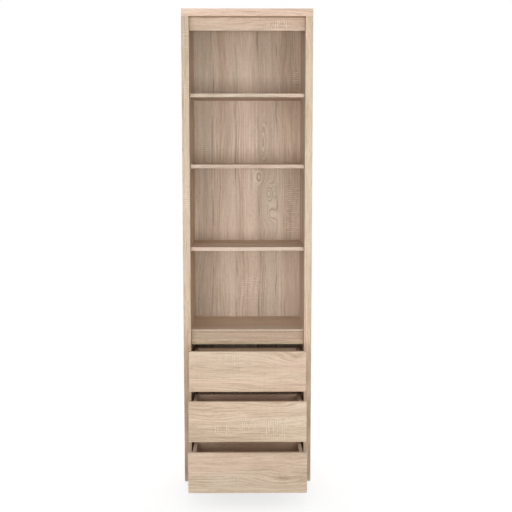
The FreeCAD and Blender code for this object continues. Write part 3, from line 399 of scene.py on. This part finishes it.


# Boards of the carcass: face tints and raw faces name a face by the side it looks to, and the face tints and bands
# below are painted light and shade
carcassBoards = {
    # Left side: its inner face is painted darker as shade, a band low on its front edge paints the shade of the
    # pulled-out drawers, and a band at half a metre paints light
    "left_side_panel": dict(grain="z", endAxis="y", seed=1.0, saw=0.6, rawFaces=("+y", "-z"), tint=(0.95, 0.94, 0.95),
                            paintedFaceLight={"-y": (1.0, 0.985, 1.01), "+x": (0.88, 0.87, 0.85)},
                            patches=((-0.263, 1.8, -0.237, 1.87), (-0.263, 1.16, -0.237, 1.27)),
                            paintedBands=((0.14, 0.38, 0.86), (0.5, 0.09, 1.09))),
    # Right side: its inner face is painted lighter and bluer as light, and a band low on its front edge paints the
    # shade of the pulled-out drawers
    "right_side_panel": dict(grain="z", endAxis="y", seed=2.0, saw=0.6, rawFaces=("+y", "-z"), tint=(0.95, 0.94, 0.93),
                             paintedFaceLight={"-y": (1.0, 0.985, 0.965), "-x": (1.03, 1.07, 1.2)},
                             patches=((0.237, 0.98, 0.263, 1.05),), paintedBands=((0.14, 0.38, 0.88),)),
    # Top: its front edge is painted lighter, as light
    "top_panel": dict(grain="x", endAxis="y", seed=3.0, saw=0.4, rawFaces=("+y",),
                      paintedFaceLight={"-y": (1.26, 1.22, 1.3)}),
    "header_rail": dict(grain="x", endAxis="z", seed=4.0, patches=((0.068, 1.88, 0.178, 1.916),),
                        tint=(1.06, 1.075, 1.13)),
    # Shelves: their front edges are painted lighter, as light
    "upper_shelf": dict(grain="x", endAxis="y", seed=5.0, saw=0.5, rawFaces=("+y",), tint=(0.96, 0.97, 1.01),
                        paintedFaceLight={"-y": (1.08, 1.12, 1.2)}),
    "middle_shelf": dict(grain="x", endAxis="y", seed=6.0, saw=0.5, rawFaces=("+y",), tint=(0.96, 0.97, 1.01),
                         paintedFaceLight={"-y": (1.06, 1.11, 1.22)}),
    "lower_shelf": dict(grain="x", endAxis="y", seed=7.0, saw=0.5, rawFaces=("+y",), tint=(0.96, 0.97, 1.01),
                        paintedFaceLight={"-y": (1.05, 1.05, 1.13)}),
    # Fixed shelf: its top is painted lighter as light, and its front edge darker as shade
    "fixed_shelf": dict(grain="x", endAxis="y", seed=8.0, saw=0.4, rawFaces=("+y",), tint=(1.02, 1.06, 1.1),
                        paintedFaceLight={"-y": (0.875, 0.866, 0.893)}),
    # Front rail: a thin dark band at its top paints the shadow under the fixed shelf's lip, and a band near its foot
    # paints light
    "front_rail": dict(grain="x", endAxis="z", seed=9.0, tint=(0.74, 0.71, 0.7),
                       paintedBands=((0.6345, 0.0026, 0.5), (0.5985, 0.0055, 1.3))),
    "drawer_bay_stretcher": dict(grain="x", endAxis="y", seed=10.0, rawFaces=("+y",), tint=(1.0, 1.06, 1.02)),
    "bottom_panel": dict(grain="x", endAxis="y", seed=11.0, rawFaces=("+y",)),
    "plinth_board": dict(grain="x", endAxis="z", seed=12.0, rawFaces=("-z",)),
}
for node, look in carcassBoards.items():
    dress(node, oakMaterial(f"{node}_oak", **look))
print("carcass boards dressed")

# Drawers: saw marks and whorls on the fronts as the photograph has them, and plainer boxes
drawerPatches = {
    "upper": ((-0.072, 0.546, -0.028, 0.592),),
    "middle": ((-0.134, 0.284, -0.116, 0.31), (-0.091, 0.276, -0.066, 0.318), (-0.028, 0.296, 0.031, 0.326),
               (0.057, 0.268, 0.16, 0.334)),
    "lower": ((-0.056, 0.1, -0.026, 0.13),),
}
frontFigures = {
    "upper": ((0.2, 0.565, 0.11, 0.026, 0.03),),
    "middle": ((-0.13, 0.335, 0.12, 0.035, 0.02), (0.12, 0.39, 0.08, 0.02, 0.02)),
    "lower": ((0.12, 0.1, 0.1, 0.03, 0.025),),
}
frontTints = {"upper": (0.965, 0.94, 0.945), "middle": (1.0, 1.02, 1.03), "lower": (0.945, 0.945, 0.965)}
# painted shade: the boxes are darker the lower the drawer sits
paintedBoxShade = {"upper": (0.92, 0.9, 0.91), "middle": (0.8, 0.75, 0.77), "lower": (0.75, 0.68, 0.65)}
# painted light: the boxes' top edges are lighter, as lit from above
paintedTopEdgeLight = {"+z": (1.05, 0.98, 0.96)}
for number, (level, patches) in enumerate(drawerPatches.items()):
    name = f"{level}_drawer"
    dress(f"{name}_front", oakMaterial(f"{name}_front_oak", "x", "z", 20.0 + number, patches=patches, saw=0.25,
                                       tint=frontTints[level], figures=frontFigures[level]))
    boxLook = {"streaks": 0.5, "bands": 0.6, "rings": 0.4, "tint": paintedBoxShade[level]}
    for side in ("left", "right"):
        seed = 30.0 + 2 * number + (side == "right")
        dress(f"{name}_{side}_side", oakMaterial(f"{name}_{side}_oak", "y", "z", seed, paintedFaceLight=paintedTopEdgeLight, **boxLook))
    dress(f"{name}_back", oakMaterial(f"{name}_back_oak", "x", "z", 40.0 + number, paintedFaceLight=paintedTopEdgeLight, **boxLook))
    dress(f"{name}_bottom", oakMaterial(f"{name}_bottom_oak", "x", "y", 50.0 + number, **boxLook))

backLook = {
    "patches": ((0.17, 1.01, 0.235, 1.24), (-0.03, 0.72, 0.06, 0.83), (0.2, 1.68, 0.235, 1.76),
                (-0.222, 1.37, -0.172, 1.42)),
    "figures": ((0.092, 1.2, 0.022, 0.045, 0.07), (0.068, 1.43, 0.013, 0.09, 0.05), (0.1, 1.11, 0.028, 0.04, 0.04),
                (0.056, 1.275, 0.016, 0.034, -0.05)),
    "planks": {"first": 0.95, "wander": 0.03, "seamHalf": 0.006, "seamTone": -0.36, "seams": (
        (-0.155, 0.008, 1.03), (-0.05, 0.004, 1.06), (0.048, 0.004, 0.95), (0.13, 0.02, 1.05),
    )},
    "tint": (0.9, 0.92, 0.96), "bands": 0.95, "streaks": 0.75, "rings": 1.5, "hue": 0.4, "saw": 0.3,
    # the band paints the shade behind the upper drawer, and the two spots below paint light at the right end of the
    # second bay and shade at the foot of the fourth
    "curl": 0.36, "paintedBands": ((0.51, 0.11, 0.5),),
    "paintedShades": ((0.2, 1.46, 0.06, 0.12, 1.22), (0.0, 0.68, 0.6, 0.07, 0.84)),
    "rawFaces": ("+y",), "rawTones": fibreTones,
}
dress("back_panel", oakMaterial("back_panel_oak", "z", "y", 60.0, **backLook))
print("drawers and back dressed")


# Metal, plastic and beech
metalFinishes = {
    "slideSteel": dict(color=srgb(166, 164, 160), rough=0.36, stretch=(900.0, 12.0, 900.0)),
    "castZinc": dict(color=srgb(158, 155, 150), rough=0.48, stretch=(700.0, 700.0, 700.0)),
    "boltSteel": dict(color=srgb(190, 190, 192), rough=0.35, stretch=(600.0, 600.0, 600.0)),
    "screwSteel": dict(color=srgb(196, 194, 188), rough=0.33, stretch=(600.0, 600.0, 600.0)),
    # the pins' nickel is darkened and browned: painted shade, as the pins sit in the shaded bays
    "shadedNickel": dict(color=srgb(150, 136, 122), rough=0.42, stretch=(500.0, 500.0, 500.0)),
}


metalGrain = {"clouds": (35.0, 35.0, 35.0), "shade": 0.8, "brushedTone": 0.16, "cloudTone": 0.14,
              "roughSpread": 0.16, "relief": 0.12, "depth": 0.0002}


def metalMaterial(name, color, rough, stretch):
    made, tree = newMaterial(name)
    place = split(tree, add(tree, "ShaderNodeTexCoord").outputs["Object"])
    brushed = noise(tree, place, stretch, 3.0, 0.6)
    cloud = noise(tree, place, metalGrain["clouds"], 2.0)
    shade = calc(tree, "MULTIPLY_ADD", cloud, metalGrain["cloudTone"], metalGrain["shade"])
    shade = calc(tree, "MULTIPLY_ADD", brushed, metalGrain["brushedTone"], shade)
    spread = metalGrain["roughSpread"]
    roughness = calc(tree, "MULTIPLY_ADD", brushed, spread, rough - spread / 2)
    finishMaterial(tree, shaded(tree, color, shade), roughness, brushed, metalGrain["relief"], metalGrain["depth"],
                   metallic=1.0)
    return made


metals = {name: metalMaterial(name, **look) for name, look in metalFinishes.items()}


plasticGrain = {"stretch": (900.0, 900.0, 900.0), "shade": 0.9, "tone": 0.2, "roughSpread": 0.1, "relief": 0.2,
                "depth": 0.0001}


def plasticMaterial(name, color, rough):
    made, tree = newMaterial(name)
    place = split(tree, add(tree, "ShaderNodeTexCoord").outputs["Object"])
    grain = noise(tree, place, plasticGrain["stretch"], 2.0)
    shade = calc(tree, "MULTIPLY_ADD", grain, plasticGrain["tone"], plasticGrain["shade"])
    roughness = calc(tree, "MULTIPLY_ADD", grain, plasticGrain["roughSpread"], rough)
    finishMaterial(tree, shaded(tree, color, shade), roughness, grain, plasticGrain["relief"], plasticGrain["depth"])
    return made


beechTones = {"Light": srgb(222, 186, 142), "Middle": srgb(204, 164, 120), "Dark": srgb(176, 136, 96)}
trim = {
    "carcass_cam_locks": metals["castZinc"], "carcass_cam_bolts": metals["boltSteel"],
    "back_panel_nails": metals["boltSteel"],
    "shelf_pins": metals["shadedNickel"], "wall_bracket": metals["slideSteel"],
    "floor_glides": plasticMaterial("glidePlastic", srgb(58, 46, 38), 0.5),
    "carcass_dowels": oakMaterial("beech", "z", "y", 70.0, tones=beechTones),
}
for level in drawerPatches:
    name = f"{level}_drawer"
    trim[f"{name}_cam_locks"] = metals["castZinc"]
    trim[f"{name}_cam_bolts"] = metals["boltSteel"]
    for stage in ("outer", "middle", "inner"):
        trim[f"{name}_{stage}_channels"] = metals["slideSteel"]
for node, material in trim.items():
    dress(node, material)
print("fittings dressed")


# One node's solids as boxes: the CAD mesh is loose triangles, so a merged copy is walked
def solidBoxes(node):
    shape = bmesh.new()
    shape.from_mesh(nodes[node].data)
    bmesh.ops.remove_doubles(shape, verts=shape.verts, dist=1e-6)
    waiting, boxes = set(shape.verts), []
    while waiting:
        reached, edge = set(), [min(waiting, key=lambda vert: vert.index)]
        while edge:
            vert = edge.pop()
            if vert not in reached:
                reached.add(vert)
                edge.extend(link.other_vert(vert) for link in vert.link_edges)
        waiting -= reached
        places = [vert.co.copy() for vert in reached]
        low = Vector([min(place[axis] for place in places) for axis in range(3)])
        high = Vector([max(place[axis] for place in places) for axis in range(3)])
        boxes.append((low, high, places))
    shape.free()
    return boxes


def meshObject(name, shape, material):
    mesh = bpy.data.meshes.new(name)
    shape.to_mesh(mesh)
    shape.free()
    for face in mesh.polygons:
        face.use_smooth = False
    mesh.materials.append(material)
    made = bpy.data.objects.new(name, mesh)
    scene.collection.objects.link(made)
    return made


# The mesh that is left of one object when another is cut out of it; both objects go
def carved(blank, cutter):
    cut = blank.modifiers.new("cut", "BOOLEAN")
    cut.object, cut.operation, cut.solver, cut.use_self = cutter, "DIFFERENCE", "EXACT", True
    shaped = bpy.data.meshes.new_from_object(blank.evaluated_get(bpy.context.evaluated_depsgraph_get()))
    for spare in (blank, cutter):
        bpy.data.objects.remove(spare, do_unlink=True)
    return shaped


# A profile of radius and height turned about Z
def turned(profile, steps=20):
    shape = bmesh.new()
    verts = [shape.verts.new((radius, 0.0, height)) for radius, height in profile]
    edges = [shape.edges.new(pair) for pair in zip(verts, verts[1:])]
    bmesh.ops.spin(shape, geom=verts + edges, cent=(0, 0, 0), axis=(0, 0, 1), angle=2 * math.pi, steps=steps,
                   use_merge=True)
    bmesh.ops.remove_doubles(shape, verts=shape.verts, dist=1e-6)
    bmesh.ops.recalc_face_normals(shape, faces=shape.faces)
    return shape


# Screws: head shapes in shares of the head's radius and height, thread in shares of the core's radius and the pitch,
# and the cross recess in shares of the head again
headShapes = {
    "domed": ((0.0, 0.0), (0.55, 0.0), (0.88, 0.35), (1.0, 0.7), (0.97, 1.0)),
    "flat": ((0.0, 0.0), (0.97, 0.0), (1.0, 0.12)),
}
thread = {"root": 0.72, "fall": 0.35, "crest": 0.5, "rise": 0.65}
recess = {"length": 1.15, "width": 0.3, "depth": 1.3, "narrowing": 0.45}


# A screw along -Z with its head's top at zero
def crossScrew(look):
    head, tall, core = look["headRadius"], look["headHeight"], look["coreRadius"]
    profile = [(head * radius, -tall * down) for radius, down in headShapes[look["head"]]]
    height = -tall - look["plain"]
    profile += [(core, -tall), (core, height)]
    root, pitch = core * thread["root"], look["pitch"]
    while height > look["tip"] - look["length"]:
        profile += [(root, height - pitch * thread["fall"]), (core, height - pitch * thread["crest"]),
                    (root, height - pitch * thread["rise"])]
        height -= pitch
    profile.append((0.0, -look["length"]))
    screw = meshObject("screwBlank", turned(profile), metals["screwSteel"])
    cross = bmesh.new()
    for turn in (0.0, math.pi / 2):
        arm = bmesh.ops.create_cube(cross, size=1.0)["verts"]
        for vert in arm:
            length = recess["length"] * (recess["narrowing"] if vert.co.z < 0 else 1.0)
            vert.co *= Vector((head * length, head * recess["width"], tall * recess["depth"]))
        bmesh.ops.rotate(cross, verts=arm, cent=(0, 0, 0), matrix=Matrix.Rotation(turn, 3, "Z"))
    return carved(screw, meshObject("crossCutter", cross, metals["screwSteel"]))


screwLooks = {
    "slide": dict(head="domed", headRadius=0.0035, headHeight=0.001, coreRadius=0.00175, length=0.013, plain=0.0005,
                  pitch=0.0013, tip=0.0025),
    "box": dict(head="flat", headRadius=0.004, headHeight=0.0025, coreRadius=0.0025, length=0.045, plain=0.006,
                pitch=0.003, tip=0.005),
}
screwShapes = {kind: crossScrew(look) for kind, look in screwLooks.items()}
# how near to a solid's end its width is measured, and how far each screw is turned by its place
screwPlacing = {"endReach": 0.0009, "turnByY": 37.0, "turnByZ": 53.0}


# Puts a finished screw on each of a node's solids, its head where the solid is widest
def placeScrews(node, kind, body):
    shape = bmesh.new()
    for low, high, places in solidBoxes(node):
        size = high - low
        axis = max(range(3), key=lambda number: size[number])
        middle = (low + high) / 2
        other = (axis + 1) % 3
        atLow = max(place[other] for place in places if place[axis] - low[axis] < screwPlacing["endReach"])
        atHigh = max(place[other] for place in places if high[axis] - place[axis] < screwPlacing["endReach"])
        top, way = (high, 1.0) if atHigh > atLow else (low, -1.0)
        head = middle.copy()
        head[axis] = top[axis]
        direction = Vector([way if number == axis else 0.0 for number in range(3)])
        turn = Vector((0, 0, 1)).rotation_difference(direction).to_matrix().to_4x4()
        spin = Matrix.Rotation(head.y * screwPlacing["turnByY"] + head.z * screwPlacing["turnByZ"], 4, "Z")
        one = screwShapes[kind].copy()
        one.transform(Matrix.Translation(head) @ turn @ spin)
        shape.from_mesh(one)
        bpy.data.meshes.remove(one)
    made = meshObject(f"{node}_crossheads", shape, metals["screwSteel"])
    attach(made, body)
    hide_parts(node)


placeScrews("carcass_screws", "slide", "carcass")
for level in drawerPatches:
    placeScrews(f"{level}_drawer_slide_screws", "slide", f"{level}_drawer")
    placeScrews(f"{level}_drawer_box_screws", "box", f"{level}_drawer")
print("screws made")

# A moulded end inside each middle channel, behind the screws' heads
slidePlastic = plasticMaterial("slidePlastic", srgb(30, 29, 29), 0.42)
stageEnd = {"gauge": 0.0012, "thickness": 0.0034, "height": 0.022, "proud": 0.0014, "depth": 0.014, "round": 0.0008,
            "rim": 0.0005, "hollow": 0.0006}
for level in drawerPatches:
    shape = bmesh.new()
    for low, high, _ in solidBoxes(f"{level}_drawer_middle_channels"):
        way = 1.0 if low.x > 0 else -1.0
        web = max(abs(low.x), abs(high.x)) - stageEnd["gauge"]
        size = Vector((stageEnd["thickness"], stageEnd["depth"] + stageEnd["proud"], stageEnd["height"]))
        middle = Vector((way * (web - size.x / 2), low.y - stageEnd["proud"] + size.y / 2, (low.z + high.z) / 2))
        place = Matrix.Translation(middle) @ Matrix.Diagonal((*size, 1.0))
        block = bmesh.ops.create_cube(shape, size=1.0, matrix=place)
        edges = {edge for vert in block["verts"] for edge in vert.link_edges}
        bmesh.ops.bevel(shape, geom=list(edges), offset=stageEnd["round"], affect="EDGES", segments=3, profile=0.5,
                        material=-1)
    shape.normal_update()
    fronts = [face for face in shape.faces if face.normal.y < -0.999]
    bmesh.ops.inset_individual(shape, faces=fronts, thickness=stageEnd["rim"])
    bmesh.ops.inset_individual(shape, faces=fronts, thickness=stageEnd["rim"] / 2, depth=-stageEnd["hollow"])
    made = meshObject(f"{level}_drawer_slide_ends", shape, slidePlastic)
    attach(made, f"{level}_drawer_slide_stage")
print("slide ends made")

# Round and long holes in the channels' webs: each hole's distance from the channel's front end, and half its slot
channelHoles = {
    "inner": dict(body="{}_drawer", radius=0.0023, holes=(
        (0.014, 0.0), (0.062, 0.0035), (0.086, 0.0), (0.13, 0.0035), (0.19, 0.0035), (0.222, 0.0), (0.28, 0.0),
    )),
    "middle": dict(body="{}_drawer_slide_stage", radius=0.003, holes=(
        (0.036, 0.0), (0.062, 0.008), (0.11, 0.0), (0.15, 0.008), (0.2, 0.0), (0.25, 0.008),
    )),
}


# the cutting pin's own axis turns to X and its slot to Y
pinTurn = Matrix(((0, 0, 1, 0), (1, 0, 0, 0), (0, 1, 0, 0), (0, 0, 0, 1)))
pinDepth = 0.02


def pierceChannels(level, stage, look):
    node = f"{level}_drawer_{stage}_channels"
    blank = bmesh.new()
    blank.from_mesh(nodes[node].data)
    bmesh.ops.remove_doubles(blank, verts=blank.verts, dist=1e-6)
    cutter = bmesh.new()
    for low, high, _ in solidBoxes(node):
        for away, half in look["holes"]:
            pin = bmesh.ops.create_cone(cutter, cap_ends=True, segments=20, radius1=look["radius"],
                                        radius2=look["radius"], depth=pinDepth)["verts"]
            for vert in pin:
                vert.co.x += math.copysign(half, vert.co.x)
            place = Vector(((low.x + high.x) / 2, low.y + away, (low.z + high.z) / 2))
            bmesh.ops.transform(cutter, matrix=Matrix.Translation(place) @ pinTurn, verts=pin)
    mesh = carved(meshObject("channelBlank", blank, metals["slideSteel"]),
                  meshObject("holeCutter", cutter, metals["slideSteel"]))
    mesh.name = f"{node}_pierced"
    made = bpy.data.objects.new(mesh.name, mesh)
    scene.collection.objects.link(made)
    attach(made, look["body"].format(level))
    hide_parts(node)


for level in drawerPatches:
    for stage, look in channelHoles.items():
        pierceChannels(level, stage, look)
print("channels pierced")


# Floor, light and camera
studio = {
    "floorSize": 14.0, "floorTone": 0.2, "shadowTone": 0.38, "shadowGlow": 0.725,
    "clearRadius": 0.75, "fadeRadius": 1.6,
    "keyPlace": (0.0, -4.3, 0.95), "keySize": (4.2, 1.4), "keyAim": (0.0, 0.0, 1.05), "keyPower": 104.0,
    "rearPlace": (0.0, 4.2, 1.6), "rearPower": 80.0,
    "sidePlace": (3.4, 0.85, 1.7), "sideSize": (1.6, 2.2), "sidePower": 34.0,
    "topPlace": (0.0, 1.1, 4.3), "topAim": (0.0, 0.15, 1.95), "topSize": (1.6, 0.9), "topPower": 26.0,
    "ambient": 0.46, "frontGain": 0.68, "rearGain": 0.45, "zenith": 0.5,
}
pureWhite = (1.0, 1.0, 1.0, 1.0)
# placed where the photograph's perspective puts it, and aimed at the middle of its frame
view = {
    "place": (0.0, -3.7905, 1.406), "aim": (0.0352, -0.04, 1.003), "lens": 64.51, "sensor": 36.0, "shiftY": -0.02,
}


def makeFloor():
    shape = bmesh.new()
    bmesh.ops.create_grid(shape, x_segments=1, y_segments=1, size=studio["floorSize"])
    mesh = bpy.data.meshes.new("studioFloor")
    shape.to_mesh(mesh)
    shape.free()
    floor = bpy.data.objects.new("studioFloor", mesh)
    scene.collection.objects.link(floor)
    made, tree = newMaterial("studioFloorWhite")
    x, y, _ = split(tree, add(tree, "ShaderNodeTexCoord").outputs["Object"])
    away = calc(tree, "SQRT", calc(tree, "ADD", calc(tree, "MULTIPLY", x, x), calc(tree, "MULTIPLY", y, y)))
    far = remap(tree, away, studio["clearRadius"], studio["fadeRadius"])
    # what the camera sees glows, and the rest up to white is lamplight, which the object's shadow takes away
    plain = add(tree, "ShaderNodeBsdfDiffuse", {"Color": (*[studio["floorTone"]] * 3, 1.0)})
    lit = add(tree, "ShaderNodeBsdfDiffuse", {"Color": (*[studio["shadowTone"]] * 3, 1.0)})
    glow = add(tree, "ShaderNodeEmission", {"Color": pureWhite, "Strength": studio["shadowGlow"]})
    white = add(tree, "ShaderNodeEmission", {"Color": pureWhite, "Strength": 1.0})
    near = add(tree, "ShaderNodeAddShader", {0: lit.outputs[0], 1: glow.outputs[0]})
    shown = add(tree, "ShaderNodeMixShader", {0: far, 1: near.outputs[0], 2: white.outputs[0]})
    mixed = add(tree, "ShaderNodeMixShader", {0: seenRay(tree), 1: plain.outputs[0], 2: shown.outputs[0]})
    tree.links.new(mixed.outputs[0], add(tree, "ShaderNodeOutputMaterial").inputs["Surface"])
    mesh.materials.append(made)


def makeWorld():
    world = bpy.data.worlds.new("studioWorld")
    world.use_nodes = True
    tree = world.node_tree
    tree.nodes.clear()
    _, y, z = split(tree, add(tree, "ShaderNodeTexCoord").outputs["Generated"])
    front = calc(tree, "POWER", calc(tree, "MAXIMUM", calc(tree, "MULTIPLY", y, -1.0), 0.0), 2.0)
    rear = calc(tree, "POWER", calc(tree, "MAXIMUM", y, 0.0), 2.0)
    sky = calc(tree, "MULTIPLY_ADD", front, studio["frontGain"], studio["ambient"])
    sky = calc(tree, "MULTIPLY_ADD", rear, studio["rearGain"], sky)
    sky = calc(tree, "MULTIPLY", sky, remap(tree, z, 0.0, 1.0, 1.0, studio["zenith"], smooth=False))
    strength = pick(tree, seenRay(tree), sky, 1.0)
    background = add(tree, "ShaderNodeBackground", {"Color": pureWhite, "Strength": strength})
    tree.links.new(background.outputs[0], add(tree, "ShaderNodeOutputWorld").inputs["Surface"])
    scene.world = world


def makeLamp(name, place, aim, size, power):
    lamp = bpy.data.lights.new(name, "AREA")
    lamp.shape = "RECTANGLE"
    lamp.size, lamp.size_y = size
    lamp.energy = power
    holder = bpy.data.objects.new(name, lamp)
    holder.location = place
    holder.rotation_euler = (Vector(aim) - Vector(place)).to_track_quat("-Z", "Y").to_euler()
    holder.visible_camera = False
    scene.collection.objects.link(holder)


def makeCamera():
    camera = bpy.data.cameras.new("camera")
    camera.lens = view["lens"]
    camera.sensor_width = view["sensor"]
    camera.shift_y = view["shiftY"]
    holder = bpy.data.objects.new("camera", camera)
    holder.location = view["place"]
    holder.rotation_euler = (Vector(view["aim"]) - Vector(view["place"])).to_track_quat("-Z", "Y").to_euler()
    scene.collection.objects.link(holder)
    scene.camera = holder


makeFloor()
makeWorld()
makeLamp("keyLamp", studio["keyPlace"], studio["keyAim"], studio["keySize"], studio["keyPower"])
makeLamp("rearLamp", studio["rearPlace"], studio["keyAim"], studio["keySize"], studio["rearPower"])
# these stand behind the front's plane, so they light the outside alone
for side in (-1.0, 1.0):
    place = (side * studio["sidePlace"][0], *studio["sidePlace"][1:])
    makeLamp("sideLamp", place, studio["keyAim"], studio["sideSize"], studio["sidePower"])
makeLamp("topLamp", studio["topPlace"], studio["topAim"], studio["topSize"], studio["topPower"])
makeCamera()
scene.view_settings.view_transform = "Standard"
print("studio ready")
